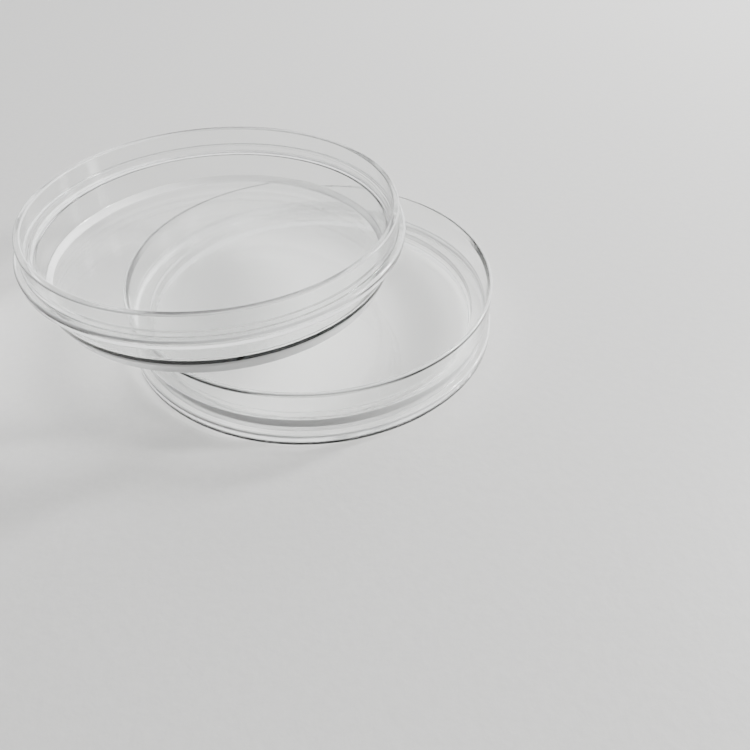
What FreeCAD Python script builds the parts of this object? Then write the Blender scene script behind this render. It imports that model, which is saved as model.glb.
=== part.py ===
"""Round two-piece coin capsule in clear plastic, shown opened.

lower_half: socket half, lying on the table with its open side up.
upper_half: spigot half, open side up, stacked level on the rim of the
lower half and set off to one side.

Units are millimetres, +Z is up.  The origin is on the table plane,
midway between the axes of the two halves.
"""
import FreeCAD
import Part
import os

# ---- edges -----------------------------------------------------------
EDGE = 0.25               # small break on the exposed outer edges
RIM_EDGE = 0.15           # break on the thin rim and spigot ends

# ---- lower half: foot, waist, rim band with the socket ---------------
LOWER_H = 7.4             # foot to rim
FOOT_R = 23.2             # wide foot flange
FOOT_H = 1.5
FOOT_RECESS_R = 20.4      # hollow under the window, inside the foot
FOOT_RECESS_H = 1.0
WAIST_R = 22.35           # waist between the foot and the rim band
BAND_R = 22.85            # rim band
BAND_Z = 3.6              # underside of the rim band
LOWER_FLOOR_Z = 2.4       # top face of the lower window
COIN_SEAT_R = 20.6        # seat of a 40 mm coin, free all round
COIN_SEAT_DEPTH = 0.6
SOCKET_R = 22.28          # socket that takes the spigot
LEAD_IN_R = 22.45         # mouth of the socket's lead-in
LEAD_IN_H = 0.8

# ---- upper half: base, wall, flange, spigot --------------------------
UPPER_H = 8.9             # base to spigot end
BASE_R = 20.5             # flat underside
BASE_BEVEL_R = 21.2       # top of the bevel round the base
BASE_BEVEL_H = 1.6
WALL_TOP_R = 21.5         # wall where it meets the flange
FLANGE_R = 23.0
FLANGE_Z = 5.1            # underside of the flange
FLANGE_TOP = 6.25         # shoulder that meets the lower rim when shut
SPIGOT_R = 22.2           # plug that enters the socket
SPIGOT_BORE_R = 21.45
STEP_A_Z = 6.5            # first inner step, just above the shoulder
STEP_A_R = 21.1
STEP_B_Z = 5.2            # second inner step, level with the flange
STEP_B_R = 20.85
UPPER_FLOOR_Z = 1.8       # thickness of the upper window
UPPER_FLOOR_R = 20.0      # window's edge
FLOOR_BEVEL_R = 20.5      # top of the bevel between window and wall
FLOOR_BEVEL_H = 0.5

# ---- how the open halves are set down --------------------------------
LOWER_X, LOWER_Y = 5.5, -0.2      # lower half's axis
UPPER_X, UPPER_Y = -5.7, 0.4      # upper half's axis
REST_GAP = 0.3            # kept between the two halves
UPPER_Z = LOWER_H + REST_GAP


def revolve(points):
    """Turn a closed (radius, height) outline about +Z into a solid."""
    corners = [FreeCAD.Vector(r, 0.0, z) for r, z in points]
    wire = Part.makePolygon(corners + corners[:1])
    axis_point = FreeCAD.Vector(0.0, 0.0, 0.0)
    axis_dir = FreeCAD.Vector(0.0, 0.0, 1.0)
    return Part.Face(wire).revolve(axis_point, axis_dir, 360.0)


def lower_half():
    """Socket half with a foot flange, a waist and a coin seat."""
    seat_top = LOWER_FLOOR_Z + COIN_SEAT_DEPTH
    half = revolve([
        (0.0, FOOT_RECESS_H),
        (FOOT_RECESS_R, FOOT_RECESS_H),
        (FOOT_RECESS_R, 0.0),
        (FOOT_R - EDGE, 0.0),
        (FOOT_R, EDGE),
        (FOOT_R, FOOT_H - EDGE),
        (FOOT_R - EDGE, FOOT_H),
        (WAIST_R, FOOT_H),
        (WAIST_R, BAND_Z),
        (BAND_R, BAND_Z),
        (BAND_R, LOWER_H - RIM_EDGE),
        (BAND_R - RIM_EDGE, LOWER_H),
        (LEAD_IN_R, LOWER_H),
        (SOCKET_R, LOWER_H - LEAD_IN_H),
        (SOCKET_R, seat_top),
        (COIN_SEAT_R, seat_top),
        (COIN_SEAT_R, LOWER_FLOOR_Z),
        (0.0, LOWER_FLOOR_Z),
    ])
    half.translate(FreeCAD.Vector(LOWER_X, LOWER_Y, 0.0))
    return half


def upper_half():
    """Spigot half, made on the origin and moved to where it rests."""
    half = revolve([
        (0.0, 0.0),
        (BASE_R, 0.0),
        (BASE_BEVEL_R, BASE_BEVEL_H),
        (WALL_TOP_R, FLANGE_Z),
        (FLANGE_R - EDGE, FLANGE_Z),
        (FLANGE_R, FLANGE_Z + EDGE),
        (FLANGE_R, FLANGE_TOP - EDGE),
        (FLANGE_R - EDGE, FLANGE_TOP),
        (SPIGOT_R, FLANGE_TOP),
        (SPIGOT_R, UPPER_H - RIM_EDGE),
        (SPIGOT_R - RIM_EDGE, UPPER_H),
        (SPIGOT_BORE_R + RIM_EDGE, UPPER_H),
        (SPIGOT_BORE_R, UPPER_H - RIM_EDGE),
        (SPIGOT_BORE_R, STEP_A_Z),
        (STEP_A_R, STEP_A_Z),
        (STEP_A_R, STEP_B_Z),
        (STEP_B_R, STEP_B_Z),
        (FLOOR_BEVEL_R, UPPER_FLOOR_Z + FLOOR_BEVEL_H),
        (UPPER_FLOOR_R, UPPER_FLOOR_Z),
        (0.0, UPPER_FLOOR_Z),
    ])
    half.translate(FreeCAD.Vector(UPPER_X, UPPER_Y, UPPER_Z))
    return half


os.makedirs("parts", exist_ok=True)
for name, shape in (("lower_half", lower_half()), ("upper_half", upper_half())):
    shape.exportStep("parts/%s.step" % name)
    print(name, shape.isValid(), round(shape.Volume, 1), shape.BoundBox)
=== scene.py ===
"""Opened coin capsule in clear plastic: two moulded halves and their finish.

Run by Blender 4.5.  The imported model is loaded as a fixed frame, each half is
rebuilt as a finely rounded moulding in the same place, and both are dressed in
a clear plastic with moulding ripple, hairline scratches and dust.
"""
from __future__ import annotations

import logging
import math
from dataclasses import dataclass, field
from enum import Enum

import bmesh
import bpy
from mathutils import Matrix, Vector

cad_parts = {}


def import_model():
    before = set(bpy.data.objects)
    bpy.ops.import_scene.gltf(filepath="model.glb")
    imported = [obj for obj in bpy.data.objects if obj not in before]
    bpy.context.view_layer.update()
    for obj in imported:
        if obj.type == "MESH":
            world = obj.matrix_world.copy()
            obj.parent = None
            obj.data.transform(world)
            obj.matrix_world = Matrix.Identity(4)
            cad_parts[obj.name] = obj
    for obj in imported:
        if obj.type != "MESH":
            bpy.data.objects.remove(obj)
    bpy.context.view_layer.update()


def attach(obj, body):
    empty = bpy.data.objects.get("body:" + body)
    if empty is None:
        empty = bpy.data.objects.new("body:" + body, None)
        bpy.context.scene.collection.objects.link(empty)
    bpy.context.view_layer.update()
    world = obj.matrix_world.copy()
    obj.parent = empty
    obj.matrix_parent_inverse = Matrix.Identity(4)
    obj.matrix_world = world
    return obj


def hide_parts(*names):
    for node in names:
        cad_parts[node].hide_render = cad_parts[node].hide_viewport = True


log = logging.getLogger("coin_capsule")

MM = 0.001
TURN_STEPS = 256
ROUNDING_SEGMENTS = 4
BRACE = 0.06             # mm from each end of a straight to its brace
ON_AXIS = 1e-6           # mm, nearer than this is on the axis
EDGE_SHARE = 0.9         # share of a corner's rounding that counts as its edge
UPRIGHT = 0.7            # steepest normal, as its Z, that is still a wall
SCAR_BAND = 0.4          # mm of radius that a scar can move
WALL_NORMAL = 0.6        # Z of a normal that still casts a wall's shadow
LEVEL_NORMAL = 0.98      # Z of a normal that casts a window's shadow
RINGS = 7000.0           # turned rings per metre of radius or height
RING_FADES = 70.0        # times per metre that a ring fades in or out


class Rounding(Enum):
    """How softly a corner of a moulding is rounded, as a radius in mm."""

    AXIS = 0.0
    CRISP = 0.05
    INNER = 0.11
    THIN_RIM = 0.16
    OUTER = 0.26


class Part(Enum):
    """Region of a moulding, as the end of its material's name."""

    BODY = ""
    # Rounded edges and the plate's rim: a less clear copy of the plastic whose near-white
    # tint shows as a painted highlight.
    EDGE = "_edge"


@dataclass(frozen=True)
class Corner:
    """One corner of a half's outline, as radius and height in mm."""

    radius: float
    height: float
    rounding: Rounding = Rounding.INNER


@dataclass(frozen=True)
class GateScar:
    """The small dent where the moulding was broken off its runner.

    Sizes are in mm and angles in degrees about the half's own axis.
    """

    angle: float
    height: float
    radius: float
    width: float = 0.9
    tall: float = 0.5
    depth: float = 0.16


@dataclass(frozen=True)
class ClearPlastic:
    """Finish of one half: clear moulded plastic that has been handled.

    The depth of the relief is in mm and the turn of the pattern in radians.
    wall_clear and window_clear are the shares of light that a surface lets
    through to the table.  The rounded edges are made less clear than the body,
    so part of their near-white tint shows as diffuse colour: a painted
    highlight in place of the light that real rounded edges gather.
    """

    name: str
    tint: tuple[float, float, float] = (0.975, 0.982, 0.978)
    dust_tint: tuple[float, float, float] = (0.80, 0.79, 0.76)
    ior: float = 1.52
    ripple: float = 0.5
    scratches: float = 0.5
    dust: float = 0.5
    haze: float = 0.03
    turning: float = 0.35
    relief: float = 0.35
    relief_depth: float = 0.03
    wall_clear: float = 0.55
    window_clear: float = 0.86
    painted_highlight_clear: float = 0.5
    turn: float = 0.0

    def material(self, centre: Vector, part: Part) -> bpy.types.Material:
        """Build the shader of this finish.

        Args:
            centre: a point on the half's axis, where the pattern is centred.
            part: the clear body of the moulding, or its rounded edges, which are
            less clear so that their tint paints a highlight on them.

        Returns:
            The new material.
        """
        made = bpy.data.materials.new(self.name + part.value)
        made.use_nodes = True
        tree = made.node_tree
        tree.nodes.clear()
        out = tree.nodes.new("ShaderNodeOutputMaterial")
        shader = tree.nodes.new("ShaderNodeBsdfPrincipled")
        tree.links.new(shader.outputs["BSDF"], out.inputs["Surface"])
        shader.inputs["Metallic"].default_value = 0.0
        # The edge part lets only part of the light through, so its near-white tint shows
        # as a painted highlight.
        shader.inputs["Transmission Weight"].default_value = (
            1.0 if part is Part.BODY else self.painted_highlight_clear
        )
        shader.inputs["IOR"].default_value = self.ior

        place = tree.nodes.new("ShaderNodeTexCoord")
        mapping = tree.nodes.new("ShaderNodeMapping")
        mapping.vector_type = "TEXTURE"
        mapping.inputs["Location"].default_value = centre
        mapping.inputs["Rotation"].default_value = (0.0, 0.0, self.turn)
        tree.links.new(place.outputs["Object"], mapping.inputs["Vector"])

        skin = tree.nodes.new("ShaderNodeGroup")
        skin.node_tree = moulded_skin()
        skin.inputs["Tint"].default_value = (*self.tint, 1.0)
        skin.inputs["Dust Tint"].default_value = (*self.dust_tint, 1.0)
        skin.inputs["Ripple"].default_value = self.ripple
        skin.inputs["Scratches"].default_value = self.scratches
        skin.inputs["Dust"].default_value = self.dust
        skin.inputs["Haze"].default_value = self.haze
        skin.inputs["Turning"].default_value = self.turning
        tree.links.new(mapping.outputs["Vector"], skin.inputs["Vector"])
        tree.links.new(skin.outputs["Color"], shader.inputs["Base Color"])
        tree.links.new(skin.outputs["Roughness"], shader.inputs["Roughness"])

        bump = tree.nodes.new("ShaderNodeBump")
        bump.inputs["Strength"].default_value = self.relief
        bump.inputs["Distance"].default_value = self.relief_depth * MM
        tree.links.new(skin.outputs["Height"], bump.inputs["Height"])
        tree.links.new(bump.outputs["Normal"], shader.inputs["Normal"])

        self._soften_shadow(tree, shader)
        return made

    def _soften_shadow(
        self, tree: bpy.types.NodeTree, shader: bpy.types.Node
    ) -> None:
        """Let light through to the table, more by the level windows than the walls.

        Args:
            tree: the material's nodes.
            shader: the Principled shader whose alpha is set.
        """
        shape = tree.nodes.new("ShaderNodeTexCoord")
        split = tree.nodes.new("ShaderNodeSeparateXYZ")
        tree.links.new(shape.outputs["Normal"], split.inputs["Vector"])
        level = new_math(tree, "ABSOLUTE", split.outputs["Z"], 0.0)
        let_by = new_range(tree, WALL_NORMAL, LEVEL_NORMAL)
        let_by.inputs["To Min"].default_value = self.wall_clear
        let_by.inputs["To Max"].default_value = self.window_clear
        tree.links.new(level, let_by.inputs["Value"])
        path = tree.nodes.new("ShaderNodeLightPath")
        passed = new_math(
            tree, "MULTIPLY", path.outputs["Is Shadow Ray"], let_by.outputs["Result"]
        )
        alpha = new_math(tree, "SUBTRACT", 1.0, passed)
        tree.links.new(alpha, shader.inputs["Alpha"])


@dataclass(frozen=True)
class PaleTable:
    """Finish of the plain pale table top; its relief is in mm."""

    name: str = "pale_table"
    light: tuple[float, float, float] = (0.74, 0.735, 0.72)
    dark: tuple[float, float, float] = (0.66, 0.655, 0.64)
    roughness: float = 0.42
    mottle_scale: float = 900.0
    relief: float = 0.25
    relief_depth: float = 0.1

    def material(self) -> bpy.types.Material:
        """Build the table's shader: pale paint with a very fine mottle.

        Returns:
            The new material.
        """
        made = bpy.data.materials.new(self.name)
        made.use_nodes = True
        tree = made.node_tree
        shader = tree.nodes["Principled BSDF"]
        shader.inputs["Roughness"].default_value = self.roughness
        place = tree.nodes.new("ShaderNodeTexCoord")
        mottle = new_noise(tree, self.mottle_scale, 4.0, 0.6)
        tree.links.new(place.outputs["Object"], mottle.inputs["Vector"])
        mix = tree.nodes.new("ShaderNodeMix")
        mix.data_type = "RGBA"
        mix.inputs["A"].default_value = (*self.dark, 1.0)
        mix.inputs["B"].default_value = (*self.light, 1.0)
        tree.links.new(mottle.outputs["Fac"], mix.inputs["Factor"])
        tree.links.new(mix.outputs["Result"], shader.inputs["Base Color"])
        bump = tree.nodes.new("ShaderNodeBump")
        bump.inputs["Strength"].default_value = self.relief
        bump.inputs["Distance"].default_value = self.relief_depth * MM
        tree.links.new(mottle.outputs["Fac"], bump.inputs["Height"])
        tree.links.new(bump.outputs["Normal"], shader.inputs["Normal"])
        return made


def new_noise(
    tree: bpy.types.NodeTree, scale: float, detail: float, roughness: float
) -> bpy.types.Node:
    """Add a noise texture.

    Args:
        tree: where it is added.
        scale: features per metre.
        detail: octaves.
        roughness: share of each finer octave.

    Returns:
        The noise node.
    """
    noise = tree.nodes.new("ShaderNodeTexNoise")
    noise.inputs["Scale"].default_value = scale
    noise.inputs["Detail"].default_value = detail
    noise.inputs["Roughness"].default_value = roughness
    return noise


def new_range(
    tree: bpy.types.NodeTree, low: float, high: float
) -> bpy.types.Node:
    """Add a clamped ramp from 0 at low to 1 at high.

    Args:
        tree: where it is added.
        low: input that gives 0.
        high: input that gives 1.

    Returns:
        The Map Range node.
    """
    ramp = tree.nodes.new("ShaderNodeMapRange")
    ramp.inputs["From Min"].default_value = low
    ramp.inputs["From Max"].default_value = high
    ramp.inputs["To Min"].default_value = 0.0
    ramp.inputs["To Max"].default_value = 1.0
    return ramp


def new_math(
    tree: bpy.types.NodeTree,
    operation: str,
    first: bpy.types.NodeSocket | float,
    second: bpy.types.NodeSocket | float,
) -> bpy.types.NodeSocket:
    """Add a Math node.

    Args:
        tree: where it is added.
        operation: Blender's name of the operation.
        first: a socket or a number.
        second: a socket or a number.

    Returns:
        The node's output socket.
    """
    node = tree.nodes.new("ShaderNodeMath")
    node.operation = operation
    for slot, value in zip(node.inputs, (first, second)):
        if isinstance(value, (int, float)):
            slot.default_value = value
        else:
            tree.links.new(value, slot)
    return node.outputs[0]


def hairlines(
    tree: bpy.types.NodeTree,
    vector: bpy.types.NodeSocket,
    angle: float,
    stretch: tuple[float, float, float],
    threshold: float,
) -> bpy.types.NodeSocket:
    """Add one family of parallel hairline scratches.

    Args:
        tree: where the nodes are added.
        vector: the position socket.
        angle: direction of the family about Z, in radians.
        stretch: features per metre along, across and up.
        threshold: how rare the lines are, from 0 to 1.

    Returns:
        A mask socket, 1 in a scratch.
    """
    mapping = tree.nodes.new("ShaderNodeMapping")
    mapping.inputs["Rotation"].default_value = (0.0, 0.0, angle)
    mapping.inputs["Scale"].default_value = stretch
    tree.links.new(vector, mapping.inputs["Vector"])
    noise = new_noise(tree, 1.0, 1.0, 0.4)
    tree.links.new(mapping.outputs["Vector"], noise.inputs["Vector"])
    ramp = new_range(tree, threshold, threshold + 0.05)
    tree.links.new(noise.outputs["Fac"], ramp.inputs["Value"])
    return ramp.outputs["Result"]


def turning_marks(
    tree: bpy.types.NodeTree, vector: bpy.types.NodeSocket
) -> bpy.types.NodeSocket:
    """Add the fine rings that a turned mould leaves on its mouldings.

    Args:
        tree: where the nodes are added.
        vector: the position socket, measured from the half's axis.

    Returns:
        A height socket from 0 to 1, in rings that fade in and out.
    """
    split = tree.nodes.new("ShaderNodeSeparateXYZ")
    tree.links.new(vector, split.inputs["Vector"])
    across, along, up = split.outputs
    squares = new_math(
        tree,
        "ADD",
        new_math(tree, "MULTIPLY", across, across),
        new_math(tree, "MULTIPLY", along, along),
    )
    radius = new_math(tree, "SQRT", squares, 0.0)
    wound = tree.nodes.new("ShaderNodeCombineXYZ")
    tree.links.new(new_math(tree, "MULTIPLY", radius, RINGS), wound.inputs[0])
    tree.links.new(new_math(tree, "MULTIPLY", across, RING_FADES), wound.inputs[1])
    slow = new_math(tree, "MULTIPLY", along, RING_FADES)
    fast = new_math(tree, "MULTIPLY", up, RINGS)
    tree.links.new(new_math(tree, "ADD", slow, fast), wound.inputs[2])
    noise = new_noise(tree, 1.0, 2.0, 0.5)
    tree.links.new(wound.outputs["Vector"], noise.inputs["Vector"])
    return noise.outputs["Fac"]


def moulded_skin() -> bpy.types.NodeTree:
    """Node group of a handled, moulded clear surface, built once.

    Returns:
        The group, with Color, Roughness and Height outputs.
    """
    name = "moulded_skin"
    if name in bpy.data.node_groups:
        return bpy.data.node_groups[name]
    group = bpy.data.node_groups.new(name, "ShaderNodeTree")
    face = group.interface
    face.new_socket("Vector", in_out="INPUT", socket_type="NodeSocketVector")
    for title in ("Tint", "Dust Tint"):
        face.new_socket(title, in_out="INPUT", socket_type="NodeSocketColor")
    for title in ("Ripple", "Scratches", "Dust", "Haze", "Turning"):
        face.new_socket(title, in_out="INPUT", socket_type="NodeSocketFloat")
    face.new_socket("Color", in_out="OUTPUT", socket_type="NodeSocketColor")
    for title in ("Roughness", "Height"):
        face.new_socket(title, in_out="OUTPUT", socket_type="NodeSocketFloat")
    into = group.nodes.new("NodeGroupInput")
    out = group.nodes.new("NodeGroupOutput")
    vector = into.outputs["Vector"]

    ripple = new_noise(group, 150.0, 1.0, 0.3)
    group.links.new(vector, ripple.inputs["Vector"])
    ripple_height = new_math(
        group, "MULTIPLY", ripple.outputs["Fac"], into.outputs["Ripple"]
    )

    first = hairlines(group, vector, 0.5, (55.0, 5200.0, 300.0), 0.66)
    second = hairlines(group, vector, -0.9, (90.0, 6500.0, 300.0), 0.69)
    third = hairlines(group, vector, 1.7, (140.0, 4200.0, 300.0), 0.70)
    marks = new_math(group, "MAXIMUM", new_math(group, "MAXIMUM", first, second), third)
    marks = new_math(group, "MULTIPLY", marks, into.outputs["Scratches"])

    cells = group.nodes.new("ShaderNodeTexVoronoi")
    cells.inputs["Scale"].default_value = 620.0
    group.links.new(vector, cells.inputs["Vector"])
    speck = new_range(group, 0.15, 0.05)
    group.links.new(cells.outputs["Distance"], speck.inputs["Value"])
    patches = new_noise(group, 120.0, 2.0, 0.5)
    group.links.new(vector, patches.inputs["Vector"])
    where = new_range(group, 0.5, 0.62)
    group.links.new(patches.outputs["Fac"], where.inputs["Value"])
    dust = new_math(group, "MULTIPLY", speck.outputs["Result"], where.outputs["Result"])
    dust = new_math(group, "MULTIPLY", dust, into.outputs["Dust"])

    cloud = new_noise(group, 260.0, 5.0, 0.62)
    group.links.new(vector, cloud.inputs["Vector"])
    cloudy = new_range(group, 0.42, 0.8)
    group.links.new(cloud.outputs["Fac"], cloudy.inputs["Value"])
    haze = new_math(group, "MULTIPLY", cloudy.outputs["Result"], into.outputs["Haze"])

    rough = new_math(group, "ADD", haze, 0.012)
    rough = new_math(group, "ADD", rough, new_math(group, "MULTIPLY", marks, 0.22))
    rough = new_math(group, "ADD", rough, new_math(group, "MULTIPLY", dust, 0.45))
    group.links.new(rough, out.inputs["Roughness"])

    height = new_math(
        group, "SUBTRACT", ripple_height, new_math(group, "MULTIPLY", marks, 0.25)
    )
    height = new_math(group, "ADD", height, new_math(group, "MULTIPLY", dust, 0.8))
    rings = new_math(
        group, "MULTIPLY", turning_marks(group, vector), into.outputs["Turning"]
    )
    height = new_math(group, "ADD", height, rings)
    group.links.new(height, out.inputs["Height"])

    mix = group.nodes.new("ShaderNodeMix")
    mix.data_type = "RGBA"
    group.links.new(dust, mix.inputs["Factor"])
    group.links.new(into.outputs["Tint"], mix.inputs["A"])
    group.links.new(into.outputs["Dust Tint"], mix.inputs["B"])
    group.links.new(mix.outputs["Result"], out.inputs["Color"])
    return group


@dataclass
class CapsuleHalf:
    """One moulded half, turned from an outline about its own axis.

    Lengths are in mm.  The half stands at (axis_x, axis_y) with its underside
    at base_z, and is built there, in the frame of the CAD model.  Upright faces
    beyond gather_r, from gather_low up to gather_top, lie round the window
    plate, where real plastic gathers its light; like the rounded edges they
    take the less clear material, whose near-white tint paints that light in.
    """

    node: str
    slot: str
    finish: ClearPlastic
    axis_x: float
    axis_y: float
    base_z: float
    gather_low: float = 0.0
    gather_top: float = 0.0
    gather_r: float = 20.45
    outline: tuple[Corner, ...] = ()
    scars: tuple[GateScar, ...] = ()

    @property
    def centre(self) -> Vector:
        """The middle of the underside, in metres."""
        return Vector((self.axis_x, self.axis_y, self.base_z)) * MM

    def build(self) -> bpy.types.Object:
        """Make the half, dress it and hang it on its body.

        Returns:
            The finished object, at the origin.
        """
        bm = bmesh.new()
        self._spin_outline(bm)
        edges = self._rounded_edges(bm)
        for scar in self.scars:
            self._press_scar(bm, scar)
        bmesh.ops.scale(bm, vec=(MM, MM, MM), verts=bm.verts)
        bmesh.ops.translate(bm, vec=self.centre, verts=bm.verts)
        for facet in bm.faces:
            facet.smooth = True
            # Material 1 is the less clear copy: its near-white tint on these faces is a
            # painted highlight.
            facet.material_index = int(facet in edges)
        mesh = bpy.data.meshes.new(self.node + "_moulding")
        bm.to_mesh(mesh)
        bm.free()
        for part in Part:
            mesh.materials.append(self.finish.material(self.centre, part))
        piece = bpy.data.objects.new(self.node + "_moulding", mesh)
        bpy.context.scene.collection.objects.link(piece)
        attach(piece, self.node)
        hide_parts(self.node)
        log.info("%s: %d faces", piece.name, len(mesh.polygons))
        return piece

    def _spin_outline(self, bm: bmesh.types.BMesh) -> None:
        """Round the outline's corners, brace its flats and turn it into a solid.

        Args:
            bm: an empty mesh that receives the half, in mm on its own axis.
        """
        start = [bm.verts.new((c.radius, 0.0, c.height)) for c in self.outline]
        bm.faces.new(start)
        for rounding in Rounding:
            if rounding is Rounding.AXIS:
                continue
            chosen = [v for v, c in zip(start, self.outline) if c.rounding is rounding]
            if chosen:
                bmesh.ops.bevel(
                    bm,
                    geom=chosen,
                    offset=rounding.value,
                    offset_type="OFFSET",
                    segments=ROUNDING_SEGMENTS,
                    profile=0.5,
                    affect="VERTICES",
                    clamp_overlap=True,
                    material=-1,
                )
        bmesh.ops.delete(bm, geom=list(bm.faces), context="FACES_ONLY")
        on_axis = [e for e in bm.edges if all(v.co.x < ON_AXIS for v in e.verts)]
        bmesh.ops.delete(bm, geom=on_axis, context="EDGES")
        self._brace_flats(bm)
        bmesh.ops.spin(
            bm,
            geom=list(bm.verts) + list(bm.edges),
            cent=(0.0, 0.0, 0.0),
            axis=(0.0, 0.0, 1.0),
            angle=math.tau,
            steps=TURN_STEPS,
            use_merge=True,
        )
        bmesh.ops.remove_doubles(bm, verts=bm.verts, dist=1e-5)
        bmesh.ops.dissolve_degenerate(bm, dist=1e-6, edges=bm.edges)
        bmesh.ops.recalc_face_normals(bm, faces=bm.faces)

    def _rounded_edges(self, bm: bmesh.types.BMesh) -> set[bmesh.types.BMFace]:
        """Find the outer edges and the rim of the window plate, which gather light.

        Args:
            bm: the turned half, in mm on its own axis.

        Returns:
            The faces of every thin rim, every outer edge and the plate's rim,
            which take the less clear material whose tint is a painted highlight.
        """
        soft = (Rounding.THIN_RIM, Rounding.OUTER)
        corners = [c for c in self.outline if c.rounding in soft]
        found = set()
        for facet in bm.faces:
            middle = facet.calc_center_median()
            radius = math.hypot(middle.x, middle.y)
            beside_plate = self.gather_low < middle.z < self.gather_top
            upright = abs(facet.normal.z) < UPRIGHT
            if beside_plate and upright and radius > self.gather_r:
                found.add(facet)
            for corner in corners:
                gap = math.hypot(radius - corner.radius, middle.z - corner.height)
                if gap < EDGE_SHARE * corner.rounding.value:
                    found.add(facet)
        return found

    @staticmethod
    def _brace_flats(bm: bmesh.types.BMesh) -> None:
        """Split each long straight of the outline close to both its ends.

        The short ends take up the turn of the smooth shading, so the long flat
        between them stays optically flat.

        Args:
            bm: the mesh that holds the outline.
        """
        for edge in [e for e in bm.edges if e.calc_length() > 4.0 * BRACE]:
            first, last = edge.verts
            bmesh.utils.edge_split(edge, first, BRACE / edge.calc_length())
            rest = next(e for e in last.link_edges if e.calc_length() > 2.0 * BRACE)
            bmesh.utils.edge_split(rest, last, BRACE / rest.calc_length())

    @staticmethod
    def _press_scar(bm: bmesh.types.BMesh, scar: GateScar) -> None:
        """Dent the wall a little, in a smooth spot, to leave a gate scar.

        Args:
            bm: the turned half, in mm on its own axis.
            scar: place and size of the spot.
        """
        middle = math.radians(scar.angle)
        for vert in bm.verts:
            radius = math.hypot(vert.co.x, vert.co.y)
            if abs(radius - scar.radius) > SCAR_BAND:
                continue
            swing = math.atan2(vert.co.y, vert.co.x) - middle
            across = math.remainder(swing, math.tau) * radius / (0.5 * scar.width)
            up = (vert.co.z - scar.height) / (0.5 * scar.tall)
            nearness = max(0.0, 1.0 - across * across) * max(0.0, 1.0 - up * up)
            if nearness > 0.0:
                vert.co.xy *= (radius - scar.depth * nearness) / radius


@dataclass
class LowerHalf(CapsuleHalf):
    """Socket half on the table: foot, waist, rim band, socket and coin seat."""

    node: str = "lower_half"
    slot: str = "clear_plastic_lower"
    finish: ClearPlastic = field(
        default_factory=lambda: ClearPlastic("clear_plastic_lower", turn=0.7, haze=0.045)
    )
    axis_x: float = 5.5
    axis_y: float = -0.2
    base_z: float = 0.0
    height: float = 7.4
    foot_r: float = 23.2
    foot_h: float = 1.5
    recess_r: float = 20.4
    recess_h: float = 1.0
    waist_r: float = 22.35
    band_r: float = 22.85
    band_z: float = 3.6
    floor_z: float = 2.4
    seat_r: float = 20.6
    seat_depth: float = 0.6
    socket_r: float = 22.28
    lead_in_r: float = 22.45
    lead_in_h: float = 0.8

    def __post_init__(self) -> None:
        """Lay out the outline, from the underside's middle round to the floor's."""
        seat_top = self.floor_z + self.seat_depth
        self.gather_low, self.gather_top = self.recess_h, self.band_z
        self.gather_r = self.socket_r + 0.02
        self.outline = (
            Corner(0.0, self.recess_h, Rounding.AXIS),
            Corner(self.recess_r, self.recess_h),
            Corner(self.recess_r, 0.0, Rounding.THIN_RIM),
            Corner(self.foot_r, 0.0, Rounding.OUTER),
            Corner(self.foot_r, self.foot_h, Rounding.OUTER),
            Corner(self.waist_r, self.foot_h),
            Corner(self.waist_r, self.band_z),
            Corner(self.band_r, self.band_z, Rounding.THIN_RIM),
            Corner(self.band_r, self.height, Rounding.THIN_RIM),
            Corner(self.lead_in_r, self.height, Rounding.INNER),
            Corner(self.socket_r, self.height - self.lead_in_h, Rounding.CRISP),
            Corner(self.socket_r, seat_top, Rounding.OUTER),
            Corner(self.seat_r, seat_top, Rounding.INNER),
            Corner(self.seat_r, self.floor_z),
            Corner(0.0, self.floor_z, Rounding.AXIS),
        )
        self.scars = (GateScar(angle=-64.9, height=0.75, radius=self.foot_r),)


@dataclass
class UpperHalf(CapsuleHalf):
    """Spigot half, open side up: base ring, wall, flange, spigot and steps."""

    node: str = "upper_half"
    slot: str = "clear_plastic_upper"
    finish: ClearPlastic = field(
        default_factory=lambda: ClearPlastic("clear_plastic_upper", turn=2.1, haze=0.02)
    )
    axis_x: float = -5.7
    axis_y: float = 0.4
    base_z: float = 7.7
    height: float = 8.9
    base_r: float = 20.5
    bevel_r: float = 21.2
    bevel_h: float = 1.6
    wall_top_r: float = 21.5
    flange_r: float = 23.0
    flange_z: float = 5.1
    flange_top: float = 6.25
    spigot_r: float = 22.2
    bore_r: float = 21.45
    step_a_z: float = 6.5
    step_a_r: float = 21.1
    step_b_z: float = 5.2
    step_b_r: float = 20.85
    floor_z: float = 1.8
    floor_r: float = 20.0
    floor_bevel_r: float = 20.5
    floor_bevel_h: float = 0.5

    def __post_init__(self) -> None:
        """Lay out the outline, from the underside's middle round to the floor's."""
        self.gather_low, self.gather_top = 0.0, self.floor_z
        self.outline = (
            Corner(0.0, 0.0, Rounding.AXIS),
            Corner(self.base_r, 0.0, Rounding.THIN_RIM),
            Corner(self.bevel_r, self.bevel_h, Rounding.THIN_RIM),
            Corner(self.wall_top_r, self.flange_z),
            Corner(self.flange_r, self.flange_z, Rounding.OUTER),
            Corner(self.flange_r, self.flange_top, Rounding.OUTER),
            Corner(self.spigot_r, self.flange_top),
            Corner(self.spigot_r, self.height, Rounding.THIN_RIM),
            Corner(self.bore_r, self.height, Rounding.THIN_RIM),
            Corner(self.bore_r, self.step_a_z, Rounding.CRISP),
            Corner(self.step_a_r, self.step_a_z, Rounding.CRISP),
            Corner(self.step_a_r, self.step_b_z, Rounding.CRISP),
            Corner(self.step_b_r, self.step_b_z, Rounding.CRISP),
            Corner(self.floor_bevel_r, self.floor_z + self.floor_bevel_h, Rounding.INNER),
            Corner(self.floor_r, self.floor_z, Rounding.INNER),
            Corner(0.0, self.floor_z, Rounding.AXIS),
        )
        self.scars = (
            GateScar(angle=90.0, height=self.flange_top - 0.6, radius=self.flange_r),
        )


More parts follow.
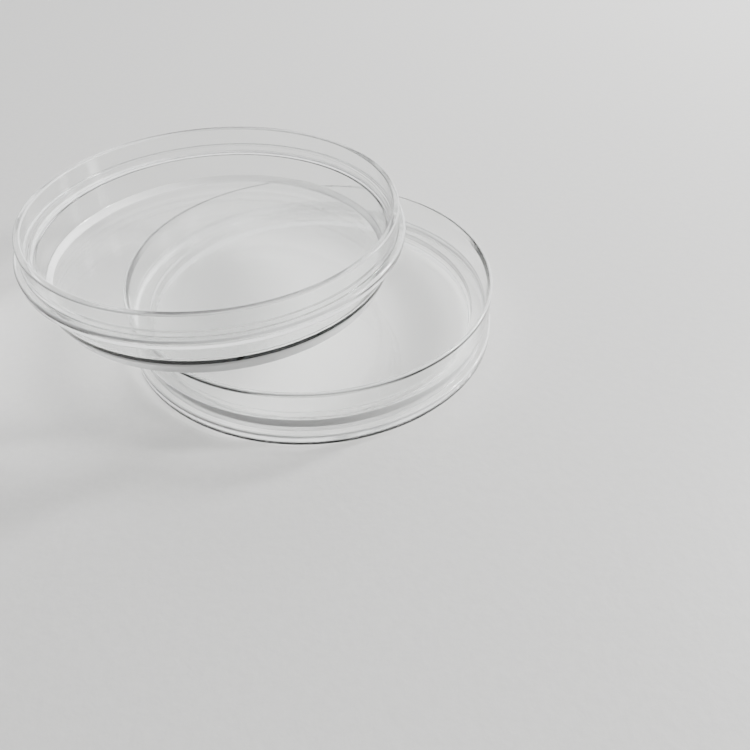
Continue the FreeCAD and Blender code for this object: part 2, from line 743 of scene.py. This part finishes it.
@dataclass(frozen=True)
class SoftLight:
    """One soft rectangular light that points at the object."""

    name: str
    place: tuple[float, float, float]
    size: tuple[float, float]
    power: float
    colour: tuple[float, float, float] = (1.0, 1.0, 1.0)

    def build(self, target: Vector) -> bpy.types.Object:
        """Add the light.

        Args:
            target: the point it faces, in metres.

        Returns:
            The light's object.
        """
        data = bpy.data.lights.new(self.name, "AREA")
        data.shape = "RECTANGLE"
        data.size, data.size_y = self.size
        data.energy = self.power
        data.color = self.colour
        lamp = bpy.data.objects.new(self.name, data)
        lamp.location = self.place
        away = Vector(self.place) - target
        lamp.rotation_euler = away.to_track_quat("Z", "Y").to_euler()
        bpy.context.scene.collection.objects.link(lamp)
        return lamp


@dataclass
class Studio:
    """Pale table, soft window light and the camera.

    The camera's angles are in degrees and its distance in mm.
    """

    elevation: float = 41.1
    distance: float = 86.7
    target: tuple[float, float, float] = (13.6, -9.3, 0.0)
    focal: float = 33.6
    shift_y: float = -0.0187
    air_gap: float = 0.02   # mm between the foot and the table
    table: PaleTable = field(default_factory=PaleTable)
    world: tuple[float, float, float] = (0.62, 0.64, 0.66)
    world_strength: float = 0.2
    lights: tuple[SoftLight, ...] = (
        SoftLight("window_near_pane", (0.53, 0.02, 0.28), (0.06, 0.16), 5.0),
        SoftLight("window_far_pane", (0.47, 0.25, 0.28), (0.06, 0.16), 5.0),
        SoftLight("back_wall", (-0.02, 0.55, 0.31), (1.1, 0.6), 3.8),
        SoftLight("ceiling", (-0.2, 0.1, 0.8), (0.6, 0.6), 0.6),
    )

    def build(self) -> None:
        """Set up the table, the lights, the world and the camera."""
        self._table()
        self._world()
        for light in self.lights:
            light.build(Vector((0.0, 0.0, 0.006)))
        self._camera()

    def _table(self) -> None:
        """Lay the table top, which is not part of the object."""
        bm = bmesh.new()
        bmesh.ops.create_grid(bm, x_segments=2, y_segments=2, size=1.5)
        mesh = bpy.data.meshes.new("table_top")
        bm.to_mesh(mesh)
        bm.free()
        mesh.materials.append(self.table.material())
        top = bpy.data.objects.new("table_top", mesh)
        top.location.z = -self.air_gap * MM
        bpy.context.scene.collection.objects.link(top)

    def _world(self) -> None:
        """Fill the room with a soft, even light."""
        world = bpy.data.worlds.new("room")
        world.use_nodes = True
        sky = world.node_tree.nodes["Background"]
        sky.inputs["Color"].default_value = (*self.world, 1.0)
        sky.inputs["Strength"].default_value = self.world_strength
        bpy.context.scene.world = world

    def _camera(self) -> None:
        """Stand the camera in front of the object, looking down at it."""
        tilt = math.radians(self.elevation)
        target = Vector(self.target) * MM
        away = Vector((0.0, -math.cos(tilt), math.sin(tilt)))
        data = bpy.data.cameras.new("camera")
        data.lens = self.focal
        data.sensor_width = 36.0
        data.shift_y = self.shift_y
        data.clip_start = 0.005
        data.clip_end = 20.0
        camera = bpy.data.objects.new("camera", data)
        turn = Matrix.Rotation(math.radians(90.0) - tilt, 4, "X")
        camera.matrix_world = (
            Matrix.Translation(target + away * self.distance * MM) @ turn
        )
        bpy.context.scene.collection.objects.link(camera)
        bpy.context.scene.camera = camera


def main() -> None:
    """Load the frame, build both halves and the studio; each half logs its face count."""
    logging.basicConfig(level=logging.INFO, format="%(name)s: %(message)s")
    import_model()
    for half in (LowerHalf(), UpperHalf()):
        half.build()
    Studio().build()


if __name__ == "__main__":
    main()
